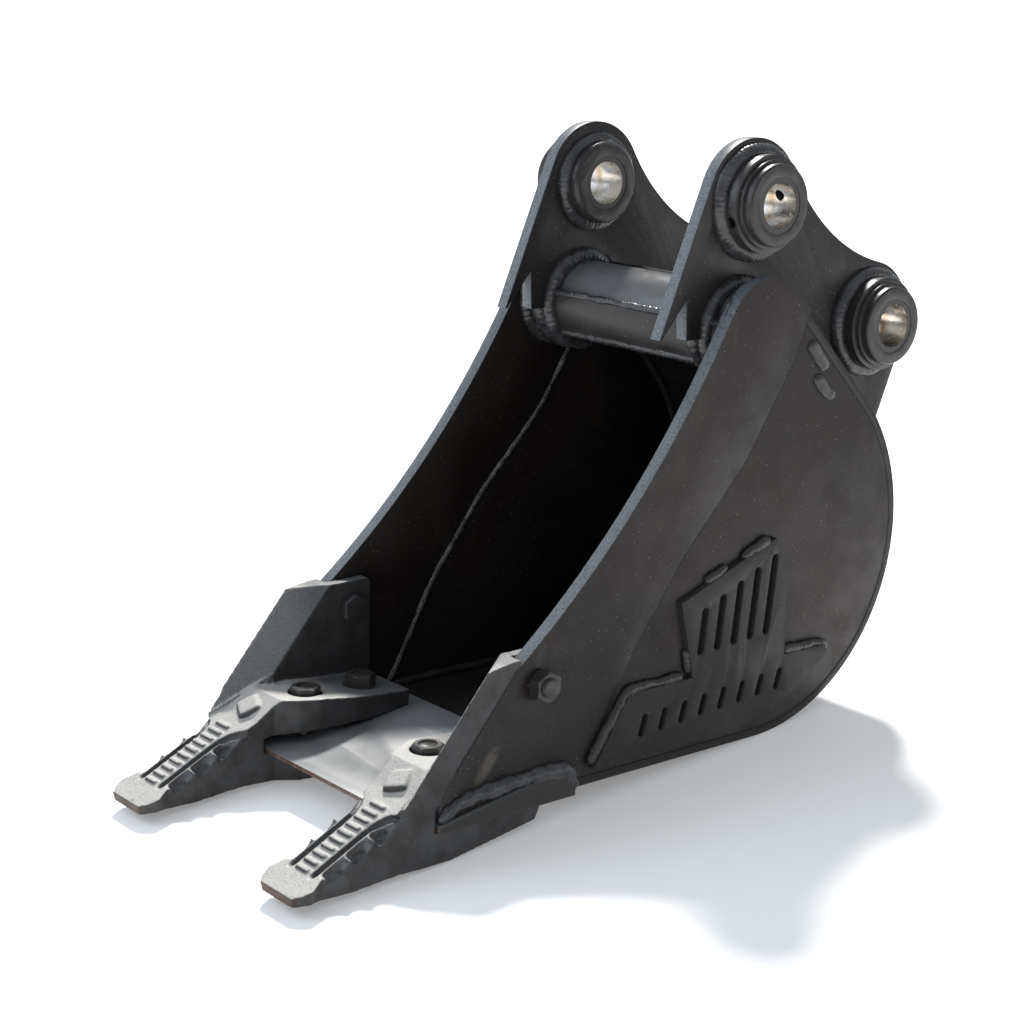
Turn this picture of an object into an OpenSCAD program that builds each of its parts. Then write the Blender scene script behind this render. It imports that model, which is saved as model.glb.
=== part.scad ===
// Excavator bucket with two pin bores, rolled shell, bevelled cutting edge
// and two bolt-on corner teeth.
// Row frame: X runs across the bucket, -Y points out of the mouth (digging
// side), +Z is up, and the origin is the middle of the dipper pin's axis.
// Sections below are drawn in a (Y, Z) plane whose Z = 0 is the underside of
// the floor plate; at_row() drops them onto the pin axis.

/* [Overall] */
// Width over the two side plates
body_w = 292; // [240:1:400]
// Width of the cutting edge
lip_w = 300; // [248:1:408]
// Height of the dipper pin above the underside of the floor
pin_drop = 483; // [470:1:500]
// Outer radius of the rolled heel
heel_r = 177; // [170:1:182]

/* [Plates] */
// Thickness of the front side plates
side_t = 13; // [10:1:14]
// Thickness of the rear side plates
rear_t = 8; // [5:1:10]
// Thickness of the rolled shell
shell_t = 8; // [6:1:10]
// Thickness of the ears
ear_t = 13; // [10:1:16]
// Thickness of the heel wear plates
wear_t = 6; // [4:1:8]
// Thickness of the cutting edge
lip_t = 25; // [20:1:25]
// Height of the cutting edge's blunt nose
lip_nose = 4; // [3:0.5:6]

/* [Pins] */
// Distance between the two pin axes
pin_centres = 200; // [195:1:205]
// Angle of the link pin below the dipper pin
pin_angle = 35.9; // [34:0.1:38]
// Bore for both pins
pin_d = 40; // [35:1:45]
// Outside of the hardened bushes
bush_d = 50; // [46:1:54]
// Clear gap between the inner faces of the bosses
boss_gap = 162; // [150:1:170]
// Length over the outer faces of the bosses
boss_span = 282; // [270:1:290]
// Gap between the ears
ear_gap = 194; // [184:1:200]
// Radius of the ears round each pin
ear_r = 56; // [54:1:58]
// Hole for the dipper pin's cross bolt
keeper_d = 10; // [8:1:12]

/* [Cross tube] */
// Outside diameter of the cross tube
tube_d = 76; // [74:0.5:76]
// Wall of the cross tube
tube_wall = 8; // [5:1:10]
// Thickness of the saddle on the front of the tube
saddle_t = 4; // [3:0.5:5]

/* [Corner teeth] */
// How far the tooth tips stand in front of the pin axis
tip_y = 502; // [490:1:520]
// Width of the tooth tip
tip_w = 44; // [38:1:50]
// Height of the wing at the side plate
wing_top = 125; // [118:1:130]
// Thickness of the cheek inside the side plate
cheek_t = 11; // [9:1:14]

/* [Fasteners] */
// Thread size of all tooth bolts
bolt_d = 16; // [14:1:18]
// Width across flats of nuts and heads
hex_af = 24; // [22:1:27]
// Height of a nut
nut_h = 13; // [10:1:14]
// Height of a bolt head
head_h = 10; // [8:1:12]

/* [Hidden] */
half_w = body_w / 2;
half_in = half_w - side_t;
ear_in = ear_gap / 2;
ear_out = ear_in + ear_t;
boss_in = boss_gap / 2;
boss_out = boss_span / 2;
pin_r = pin_d / 2;
eps = 0.02;

// Pin axes in the section plane
dipper = [0, pin_drop];
link = dipper + pin_centres * [cos(pin_angle), -sin(pin_angle)];

// Concave back of the ear, tangent to both pin lobes
back_r = 197;
ear_mid = (dipper + link) / 2;
ear_nrm = [sin(pin_angle), cos(pin_angle)];
back_c = ear_mid + ear_nrm * sqrt(pow(back_r + ear_r, 2) - pow(pin_centres / 2, 2));

// Rolled shell: floor, heel arc, then a straight 45 degree back
heel_c = [0, heel_r];
heel_top = heel_c + heel_r * [cos(45), sin(45)];
back_sum = heel_top[0] + heel_top[1];
shell_end = 42.5;
tongue_end = 20;

// Cross tube, its crown touching the inside of the shell's back
tube_r = tube_d / 2;
tube_y = -9.5;
tube_c = [tube_y, back_sum - sqrt(2) * (shell_t + tube_r + eps) - tube_y];
lobe_r = 50;

// Cutting edge section
lip_under = -5;
lip_top = lip_under + lip_t;
lip_front = -377;
lip_break = -243;
lip_rear = -220;
// Front corners of the cutting edge that sit inside the castings
corner_in = half_w - 4;
corner_y = -366;

// Curved front of the side plates
front_c = [-820, 799];
front_r = 865.5;
plate_kink = [-282, 122];
plate_foot = -362;

// Joint between the front and rear side plates
seam = [[-214, shell_t], [-201, 27], [-156, 111], [-99, 188], [-30, 262], [24, 346]];

// Bolts of the corner teeth: one across, two upright
side_bolt = [-261, 101.5];
lip_bolt_x = 90;
lip_bolt_y = [-333, -272];

// Countersunk heads under the lower arm, and where the nuts sit on the upper one
sink_r = 13;
sink_h = 7;
function sink_z(y) = y < -300 ? -26 : -17;
function nut_z(y) = y < -300 ? 35 : 35.5;

// Wing of the corner tooth: leading edge and its lean from the vertical
wing_edge = [-317, 122.5];
wing_lean = 39.8;
wing_deep = 26.5;
wing_out = half_w + 0.8;

// ---------------------------------------------------------------- helpers

// Moves a floor-based section onto the pin axis
module at_row() {
    translate([0, 0, -pin_drop]) children();
}

// Extrudes a (Y, Z) section along X from x0 to x1
module along_x(x0, x1) {
    translate([x0, 0, 0]) rotate([90, 0, 90]) linear_extrude(x1 - x0) children();
}

// Round bar along X at a (Y, Z) point
module bar_x(p, r, x0, x1, fn = 96) {
    translate([x0, p[0], p[1]]) rotate([0, 90, 0]) cylinder(h = x1 - x0, r = r, $fn = fn);
}

// Hexagon prism across its flats, standing on Z = 0
module hex(af, h) {
    cylinder(h = h, d = af / cos(30), $fn = 6);
}

// Draws the right-hand child, or its mirror image on the left
module handed(side) {
    if (side > 0) children();
    else mirror([1, 0, 0]) children();
}

// ---------------------------------------------------------------- sections

// Everything enclosed by the shell's outer face, offset inwards by inset
module shell_inside(inset, front) {
    s = back_sum - inset * sqrt(2);
    r = heel_r - inset;
    top = heel_c + r * [cos(45), sin(45)];
    translate(heel_c) circle(r = r, $fn = 240);
    polygon([[front, inset], [0, inset], [0, heel_r], top,
             [-60, s + 60], [-400, 400], [front, 200]]);
}

// Area in front of the joint between the side plates
module ahead_of_seam() {
    polygon(concat([[-500, -50], [-214, -50]], seam,
                   [[shell_end, 390], [shell_end, 500], [-500, 500]]));
}

// Rolled shell's section as a band
module shell_band() {
    difference() {
        shell_inside(0, lip_rear);
        shell_inside(shell_t, lip_rear - 1);
    }
}

// Front side plate: crown lobe, curved mouth edge and foot on the lip
module front_plate_2d() {
    foot_z = lip_under + lip_nose
           + (plate_foot - lip_front) * (lip_t - lip_nose) / (lip_break - lip_front);
    back45 = tube_c + lobe_r * [cos(45), sin(45)];
    lobe_sum = back45[0] + back45[1];
    difference() {
        union() {
            intersection() {
                translate(tube_c) circle(r = lobe_r, $fn = 120);
                ahead_of_seam();
            }
            polygon(concat(
                [[plate_foot, foot_z], [lip_break, lip_top], [lip_rear, lip_top],
                 [lip_rear, shell_t]],
                seam,
                [[shell_end, lobe_sum - shell_end], back45, tube_c, [-56, 392],
                 [-180, 250], plate_kink, [plate_foot, 23]]));
        }
        translate(front_c) circle(r = front_r, $fn = 720);
    }
}

// Rear side plate, set inside the shell and butted to the front plate
module rear_plate_2d() {
    difference() {
        intersection() {
            shell_inside(shell_t + eps, -214);
            translate([-214, 0]) square([420, 420]);
        }
        ahead_of_seam();
    }
}

// Cutting edge section: thick heel, long top bevel and a blunt nose
module lip_2d(grow = 0) {
    polygon([[lip_front - grow, lip_under - grow],
             [lip_front - grow, lip_under + lip_nose + grow],
             [lip_break, lip_top + grow], [lip_rear + grow, lip_top + grow],
             [lip_rear + grow, lip_under - grow]]);
}

// Ear: two pin lobes, concave back, straight back edge and pointed front leg
module ear_2d() {
    lean = 157.9;
    crown = dipper + ear_r * [cos(lean), sin(lean)];
    tail = link + ear_r * [cos(-22.6), sin(-22.6)];
    difference() {
        union() {
            translate(dipper) circle(r = ear_r, $fn = 120);
            translate(link) circle(r = ear_r, $fn = 120);
            difference() {
                polygon([crown, [-106.5, 369.6], [-104, 369.6], [-77, 401.6], [-75, 367],
                         [-40, 366], [40, 360], [140, 232], [tail[0] - 47.5, tail[1] - 114],
                         tail, link, back_c, dipper]);
                translate(back_c) circle(r = back_r, $fn = 360);
            }
        }
        translate(tube_c) circle(r = tube_r, $fn = 120);
        intersection() {
            translate(tube_c) circle(r = tube_r + saddle_t, $fn = 120);
            saddle_sector();
        }
        difference() {
            shell_inside(-eps, -214);
            translate([-214, 300]) square([214 + tongue_end, 300]);
        }
    }
}

// Wedge of the tube's front that the saddle covers
module saddle_sector() {
    translate(tube_c) polygon([[0, 0],
        80 * [cos(166), sin(166)], 80 * [cos(194), sin(194)], 80 * [cos(222), sin(222)]]);
}

// Slanted slot with round ends in the (Y, Z) plane
module slot_2d(p, len, w, tilt) {
    translate(p) rotate(tilt) {
        square([w, len], center = true);
        for (s = [-1, 1]) translate([0, s * len / 2]) circle(d = w, $fn = 32);
    }
}

// ---------------------------------------------------------------- shell

module wrapper_shell() {
    color([0.27, 0.26, 0.26]) at_row() {
        // full width behind the joint
        along_x(-half_w, half_w) difference() {
            shell_band();
            translate([-214, 300]) polygon([[-300, 0], [214 + 4, 0], [214 + 24, 46],
                                            [214 + shell_end, 90], [214 + shell_end, 300], [-300, 300]]);
        }
        // narrow tongue between the front side plates, up to the tube
        along_x(-half_in + eps, half_in - eps) intersection() {
            shell_band();
            polygon([[tongue_end, back_sum - tongue_end],
                     [tongue_end - 9, back_sum - tongue_end - 9],
                     [24, 330], [70, 330], [70, 420]]);
        }
    }
}

module cutting_edge() {
    color([0.36, 0.37, 0.38]) at_row() difference() {
        along_x(-lip_w / 2, lip_w / 2) lip_2d();
        for (side = [-1, 1]) handed(side)
            along_x(corner_in, lip_w) translate([corner_y - 20, -10]) square([20, 40]);
        for (s = [-1, 1], y = lip_bolt_y)
            translate([s * lip_bolt_x, y, -40]) cylinder(h = 100, d = bolt_d + 1.5, $fn = 48);
    }
}

module front_side_plate(side) {
    color([0.30, 0.29, 0.28]) at_row() handed(side) difference() {
        along_x(half_in, half_w) front_plate_2d();
        bar_x(side_bolt, bolt_d / 2 + 0.75, half_in - 1, half_w + 1, 48);
    }
}

module rear_side_plate(side) {
    color([0.30, 0.29, 0.28]) at_row() handed(side)
        along_x(half_w - rear_t, half_w) rear_plate_2d();
}

// ---------------------------------------------------------------- hanger

module torque_tube() {
    color([0.33, 0.33, 0.33]) at_row() difference() {
        bar_x(tube_c, tube_r, -half_in + eps, half_in - eps, 120);
        bar_x(tube_c, tube_r - tube_wall, -half_in - 1, half_in + 1, 120);
    }
}

module tube_saddle() {
    color([0.34, 0.33, 0.33]) at_row()
        along_x(-half_in + eps, half_in - eps) intersection() {
            difference() {
                translate(tube_c) circle(r = tube_r + saddle_t - eps, $fn = 120);
                translate(tube_c) circle(r = tube_r + eps, $fn = 120);
            }
            saddle_sector();
        }
}

module ear(side) {
    color([0.31, 0.30, 0.30]) at_row() handed(side) difference() {
        along_x(ear_in, ear_out) ear_2d();
        bar_x(dipper, 38 + eps, ear_in - 1, ear_out + 1);
        bar_x(link, 38 + eps, ear_in - 1, ear_out + 1);
    }
}

// Turned boss: inner spigot through the ear, outer shoulder and end register
module boss(p, side, keeper) {
    color([0.33, 0.32, 0.32]) at_row() handed(side) difference() {
        union() {
            bar_x(p, 38, boss_in + 3, ear_out + 2);
            translate([boss_in, p[0], p[1]]) rotate([0, 90, 0])
                cylinder(h = 3, r1 = 35, r2 = 38, $fn = 96);
            bar_x(p, 43, ear_out + eps, boss_out - 12);
            bar_x(p, 39, boss_out - 12, boss_out - 8);
            bar_x(p, 36, boss_out - 8, boss_out - 1.5);
            translate([boss_out - 1.5, p[0], p[1]]) rotate([0, 90, 0])
                cylinder(h = 1.5, r1 = 36, r2 = 34.5, $fn = 96);
        }
        bar_x(p, bush_d / 2, boss_in - 1, boss_out + 1);
        if (keeper) keeper_hole(p, 60);
    }
}

// Cross hole that holds the pin in its boss
module keeper_hole(p, reach) {
    translate([boss_out - 19, p[0], p[1]]) rotate([20, 0, 0])
        rotate([90, 0, 0]) cylinder(h = 2 * reach, d = keeper_d, center = true, $fn = 48);
}

module bush(p, side, keeper) {
    color([0.68, 0.66, 0.62]) at_row() handed(side) difference() {
        bar_x(p, bush_d / 2 - eps, boss_in + 0.5, boss_out - 0.5);
        bar_x(p, pin_r, boss_in - 1, boss_out + 1);
        if (keeper) keeper_hole(p, 60);
    }
}

// ---------------------------------------------------------------- teeth

// Mouth of the fork round the lip, from above it to below, wider at its throat
fork_gap = [[-240, lip_top + 0.2], [lip_break, lip_top + 0.2], [-257, lip_top - 1.7],
            [-284, lip_top - 4.5], [-334, lip_top - 5.5], [lip_front - 2, lip_top - 11.5],
            [lip_front - 2, lip_under - 0.2], [-257, lip_under - 0.2]];

// Side view of the tooth and both fork arms
module tooth_side_2d() {
    polygon([[-tip_y, -29.5], [-480, -20.5], [-387, 25], [-364, 43], [-330, 43], [-300, 39.5],
             [-240, 35.5], [-240, lip_top + 0.2], [-257, lip_top + 0.2],
             [-257, -8], [-262, -18], [-350, -32], [-405, -33], [-448, -37.5], [-tip_y + 2, -37.5]]);
}

// Top view of the tooth and its flared arms
module tooth_plan_2d() {
    mid = half_w - 30;
    polygon([[mid - tip_w / 2, -tip_y - 1], [mid + tip_w / 2, -tip_y - 1],
             [half_w - 3, -428], [wing_out, -381], [wing_out, -230], [58, -230],
             [58, -285], [60, -310], [63, -335], [71, -351], [84, -370], [88, -400]]);
}

// Wedge-shaped wing that leads the side plate's front edge
module wing() {
    translate([0, wing_edge[0], wing_edge[1]]) rotate([-wing_lean, 0, 0])
        translate([0, 0, -150]) linear_extrude(190)
            polygon([[wing_out, 0], [wing_out, wing_deep], [half_in - cheek_t, wing_deep],
                     [half_in - cheek_t, wing_deep - 3.5]]);
}

// Space the side plate needs inside the casting
module plate_slot() {
    along_x(half_in - 0.2, wing_out + 5) polygon([
        [plate_kink[0] + 0.1, 160], [plate_kink[0] + 0.1, plate_kink[1]],
        [plate_foot - 0.2, 23], [plate_foot - 0.2, lip_under - 0.2],
        [-200, lip_under - 0.2], [-200, 160]]);
}

module corner_tooth(side) {
    color([0.37, 0.36, 0.35]) at_row() handed(side) difference() {
        union() {
            intersection() {
                along_x(50, wing_out) tooth_side_2d();
                translate([0, 0, -60]) linear_extrude(120) tooth_plan_2d();
            }
            intersection() {
                wing();
                along_x(0, 200) polygon([[-420, -1], [-230, -1], [-230, wing_top + 4],
                                         [-290, wing_top + 1], [-340, wing_top - 6]]);
                translate([0, 0, -1]) linear_extrude(160) polygon([
                    [90, -430], [half_w - 3, -428], [wing_out, -381], [wing_out, -230],
                    [90, -230]]);
            }
            along_x(half_in - cheek_t, half_in - 0.2)
                polygon([[-358, 36], [-238, 33], [-238, wing_top - 3], [-243, wing_top + 2],
                         [-284, wing_top + 1]]);
        }
        plate_slot();
        along_x(-200, corner_in + 0.2) polygon(concat([[-200, lip_top + 0.2]], fork_gap,
                                                      [[-200, lip_under - 0.2]]));
        along_x(corner_in, 200) translate([corner_y - 2, lip_under - 0.2]) square([20, 22]);
        bar_x(side_bolt, bolt_d / 2 + 0.75, 100, 200, 48);
        for (y = lip_bolt_y) {
            translate([lip_bolt_x, y, -60]) cylinder(h = 140, d = bolt_d + 1.5, $fn = 48);
            translate([lip_bolt_x, y, sink_z(y) - 30]) cylinder(h = 30, r = sink_r + eps, $fn = 48);
            translate([lip_bolt_x, y, sink_z(y) - eps])
                cylinder(h = sink_h, r1 = sink_r + eps, r2 = bolt_d / 2, $fn = 48);
            translate([lip_bolt_x, y, nut_z(y)]) cylinder(h = 40, d = 31, $fn = 48);
        }
    }
}

// ---------------------------------------------------------------- fasteners

// Hexagon bolt along X: head on the cheek, thread through the nut outside
module side_bolt_part(side) {
    color([0.42, 0.43, 0.44]) at_row() handed(side) {
        head_x = half_in - cheek_t - eps;
        translate([head_x, side_bolt[0], side_bolt[1]]) rotate([0, -90, 0]) hex(hex_af, head_h);
        bar_x(side_bolt, bolt_d / 2, head_x - 1, half_w + nut_h + 4, 48);
    }
}

module side_nut(side) {
    color([0.45, 0.45, 0.46]) at_row() handed(side) difference() {
        translate([half_w + eps, side_bolt[0], side_bolt[1]]) rotate([0, 90, 0]) hex(hex_af, nut_h);
        bar_x(side_bolt, bolt_d / 2 + eps, half_w - 1, half_w + nut_h + 1, 48);
    }
}

// Countersunk bolts through lower arm, lip and upper arm
module lip_bolts(side) {
    color([0.42, 0.43, 0.44]) at_row() handed(side)
        for (y = lip_bolt_y) translate([lip_bolt_x, y, 0]) {
            translate([0, 0, sink_z(y)])
                cylinder(h = nut_z(y) + nut_h - 1 - sink_z(y), d = bolt_d, $fn = 48);
            translate([0, 0, sink_z(y)]) cylinder(h = sink_h, r1 = sink_r, r2 = bolt_d / 2, $fn = 48);
        }
}

module lip_nuts(side) {
    color([0.45, 0.45, 0.46]) at_row() handed(side)
        for (y = lip_bolt_y) translate([lip_bolt_x, y, nut_z(y) + eps]) difference() {
            hex(hex_af, nut_h);
            translate([0, 0, -1]) cylinder(h = nut_h + 2, d = bolt_d + 2 * eps, $fn = 48);
        }
}

// ---------------------------------------------------------------- wear plate

// Base strip along the heel with a raised panel, both cut with plain slots
module heel_wear_plate(side) {
    color([0.29, 0.28, 0.28]) at_row() handed(side)
        along_x(half_w + eps, half_w + wear_t) difference() {
            polygon([[-202, 15], [-25, 15.5], [14, 24], [39, 36], [64, 50], [88, 66],
                     [84, 75], [29, 75], [26, 141], [10, 188], [-33, 173], [-106, 146],
                     [-88, 75], [-163, 75]]);
            for (k = [0 : 4]) slot_2d([-78 + 21 * k, 116 + 5 * k], 34 + 8 * k, 9, -6);
            for (k = [0 : 7]) slot_2d([-146 + 24 * k, 43 + 1.5 * k], 14, 7, -16);
        }
}

// ---------------------------------------------------------------- nodes

module left_front_side_plate() { front_side_plate(-1); }
module right_front_side_plate() { front_side_plate(1); }
module left_rear_side_plate() { rear_side_plate(-1); }
module right_rear_side_plate() { rear_side_plate(1); }
module left_ear() { ear(-1); }
module right_ear() { ear(1); }
module left_dipper_boss() { boss(dipper, -1, false); }
module right_dipper_boss() { boss(dipper, 1, true); }
module left_link_boss() { boss(link, -1, false); }
module right_link_boss() { boss(link, 1, false); }
module left_dipper_bush() { bush(dipper, -1, false); }
module right_dipper_bush() { bush(dipper, 1, true); }
module left_link_bush() { bush(link, -1, false); }
module right_link_bush() { bush(link, 1, false); }
module left_corner_tooth() { corner_tooth(-1); }
module right_corner_tooth() { corner_tooth(1); }
module left_side_bolt() { side_bolt_part(-1); }
module right_side_bolt() { side_bolt_part(1); }
module left_side_nut() { side_nut(-1); }
module right_side_nut() { side_nut(1); }
module left_lip_bolts() { lip_bolts(-1); }
module right_lip_bolts() { lip_bolts(1); }
module left_lip_nuts() { lip_nuts(-1); }
module right_lip_nuts() { lip_nuts(1); }
module left_heel_wear_plate() { heel_wear_plate(-1); }
module right_heel_wear_plate() { heel_wear_plate(1); }

wrapper_shell();
cutting_edge();
left_front_side_plate();
right_front_side_plate();
left_rear_side_plate();
right_rear_side_plate();
torque_tube();
tube_saddle();
left_ear();
right_ear();
left_dipper_boss();
right_dipper_boss();
left_link_boss();
right_link_boss();
left_dipper_bush();
right_dipper_bush();
left_link_bush();
right_link_bush();
left_corner_tooth();
right_corner_tooth();
left_side_bolt();
right_side_bolt();
left_side_nut();
right_side_nut();
left_lip_bolts();
right_lip_bolts();
left_lip_nuts();
right_lip_nuts();
left_heel_wear_plate();
right_heel_wear_plate();
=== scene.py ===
import logging
import math
from dataclasses import dataclass
from enum import Enum
from typing import Callable, Iterable, Sequence

import bmesh
import bpy
from mathutils import Matrix, Vector


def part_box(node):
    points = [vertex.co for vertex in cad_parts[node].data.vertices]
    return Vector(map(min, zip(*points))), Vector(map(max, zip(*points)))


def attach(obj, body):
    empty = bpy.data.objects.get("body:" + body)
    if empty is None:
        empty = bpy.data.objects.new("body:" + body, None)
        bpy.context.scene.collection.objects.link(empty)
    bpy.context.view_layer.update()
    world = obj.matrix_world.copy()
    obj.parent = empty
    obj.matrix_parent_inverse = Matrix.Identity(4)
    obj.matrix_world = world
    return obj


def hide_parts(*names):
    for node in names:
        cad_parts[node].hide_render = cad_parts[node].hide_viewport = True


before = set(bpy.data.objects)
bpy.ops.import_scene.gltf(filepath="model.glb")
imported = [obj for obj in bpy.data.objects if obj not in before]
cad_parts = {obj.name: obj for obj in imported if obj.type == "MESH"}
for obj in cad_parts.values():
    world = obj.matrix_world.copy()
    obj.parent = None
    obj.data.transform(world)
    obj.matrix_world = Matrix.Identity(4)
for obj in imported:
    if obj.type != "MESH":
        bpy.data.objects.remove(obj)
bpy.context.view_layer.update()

# Looks of a small trenching bucket: paint, castings, weld beads, bolts and the studio round it.
#
# Lengths are metres. Sections are drawn as (y, z) pairs in millimetres, with z = 0 on the underside of the
# floor plate, and Datum.at() drops them into the frame of the bucket, whose origin is the dipper pin.

LOG = logging.getLogger("bucket")
MM = 0.001
BODY = "root"
Colour = tuple[float, float, float]
Pair = tuple[float, float]


class Side(Enum):
    """The two sides of the bucket; the value is the sign of X."""

    LEFT = -1
    RIGHT = 1

    @property
    def word(self) -> str:
        """The side's name as the nodes use it."""
        return self.name.lower()


# ------------------------------------------------------------------ node trees


class Graph:
    """A node tree written with short calls, for materials and geometry alike."""

    def __init__(self, tree: bpy.types.NodeTree) -> None:
        """Starts on a tree.

        Args:
            tree: the shader or geometry tree that nodes are added to.
        """
        self.tree = tree

    def add(self, kind: str, inputs: dict | None = None, **props: object) -> bpy.types.Node:
        """Adds one node.

        Args:
            kind: the node's type name.
            inputs: socket names or numbers, with the value or the socket each one takes.
            **props: settings of the node itself.

        Returns:
            The new node.
        """
        node = self.tree.nodes.new(kind)
        for key, value in props.items():
            setattr(node, key, value)
        for key, value in (inputs or {}).items():
            if isinstance(value, bpy.types.NodeSocket):
                self.tree.links.new(value, node.inputs[key])
            else:
                node.inputs[key].default_value = value
        return node

    def math(self, operation: str, a: object, b: object = 0.0) -> bpy.types.NodeSocket:
        """One step of arithmetic.

        Args:
            operation: the step's name.
            a: first number or socket.
            b: second number or socket.

        Returns:
            The result's socket.
        """
        return self.add("ShaderNodeMath", {0: a, 1: b}, operation=operation).outputs[0]

    def vector(self, operation: str, a: object, b: object = (0.0, 0.0, 0.0)) -> bpy.types.Node:
        """One step of arithmetic on vectors.

        Args:
            operation: the step's name.
            a: first vector or socket.
            b: second vector or socket.

        Returns:
            The node, whose output is Vector or Value.
        """
        return self.add("ShaderNodeVectorMath", {0: a, 1: b}, operation=operation)


class Paintbox(Graph):
    """A material's tree with the few patterns that all the finishes are mixed from."""

    def __init__(self, name: str) -> None:
        """Makes a material and empties its tree.

        Args:
            name: the material's name.
        """
        self.material = bpy.data.materials.new(name)
        self.material.use_nodes = True
        super().__init__(self.material.node_tree)
        self.tree.nodes.clear()
        coords = self.add("ShaderNodeTexCoord")
        self.place = coords.outputs["Object"]
        self.facing = self.add("ShaderNodeSeparateXYZ", {0: coords.outputs["Normal"]})

    def axis(self, letter: str) -> bpy.types.NodeSocket:
        """The X, Y or Z of the point being shaded."""
        return self.add("ShaderNodeSeparateXYZ", {0: self.place}).outputs[letter]

    def noise(self, scale: float, detail: float = 3.0, stretch: Colour = (1, 1, 1),
              rough: float = 0.55) -> bpy.types.NodeSocket:
        """Cloudy pattern.

        Args:
            scale: features per metre, roughly.
            detail: octaves.
            stretch: scale along each axis.
            rough: weight of the small octaves.

        Returns:
            A value from 0 to 1.
        """
        spot = self.add("ShaderNodeMapping", {"Vector": self.place, "Scale": stretch}).outputs[0]
        return self.add("ShaderNodeTexNoise", {"Vector": spot, "Scale": scale, "Detail": detail,
                                               "Roughness": rough}).outputs["Fac"]

    def between(self, value: object, low: float, high: float,
                to_low: float = 0.0, to_high: float = 1.0) -> bpy.types.NodeSocket:
        """Turns a range of a value into a soft step.

        Args:
            value: the socket to read.
            low: where the step starts.
            high: where the step ends.
            to_low: the result at the start.
            to_high: the result at the end.

        Returns:
            The step's socket.
        """
        return self.add("ShaderNodeMapRange", {"Value": value, "From Min": low, "From Max": high,
                                               "To Min": to_low, "To Max": to_high},
                        interpolation_type="SMOOTHSTEP").outputs["Result"]

    def blend(self, share: object, a: object, b: object) -> bpy.types.NodeSocket:
        """Mixes two colours, given as tuples or sockets."""
        mix = self.add("ShaderNodeMix", data_type="RGBA")
        for name, value in (("Factor_Float", share), ("A_Color", a), ("B_Color", b)):
            socket = next(s for s in mix.inputs if s.identifier == name)
            if isinstance(value, bpy.types.NodeSocket):
                self.tree.links.new(value, socket)
            else:
                socket.default_value = value if isinstance(value, (int, float)) else (*value, 1.0)
        return next(s for s in mix.outputs if s.identifier == "Result_Color")

    def bump(self, height: object, strength: float, depth: float,
             normal: object = None) -> bpy.types.NodeSocket:
        """Fine relief.

        Args:
            height: pattern that stands for the height.
            strength: how much of it shows.
            depth: height of the relief in metres.
            normal: relief that this one is laid over.

        Returns:
            The normal's socket.
        """
        inputs = {"Height": height, "Strength": strength, "Distance": depth}
        if normal is not None:
            inputs["Normal"] = normal
        return self.add("ShaderNodeBump", inputs).outputs["Normal"]

    def finish(self, colour: object, roughness: object, normal: object,
               metallic: object = 0.0, specular: float = 0.5) -> bpy.types.Material:
        """Closes the tree with one surface shader.

        Args:
            colour: base colour.
            roughness: roughness.
            normal: relief.
            metallic: share of bare metal.
            specular: specular level, a constant.

        Returns:
            The material.
        """
        shader = self.add("ShaderNodeBsdfPrincipled", {
            "Base Color": colour, "Roughness": roughness, "Normal": normal,
            "Metallic": metallic, "Specular IOR Level": specular})
        self.add("ShaderNodeOutputMaterial", {"Surface": shader.outputs[0]})
        return self.material


# ------------------------------------------------------------------ finishes


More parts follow.
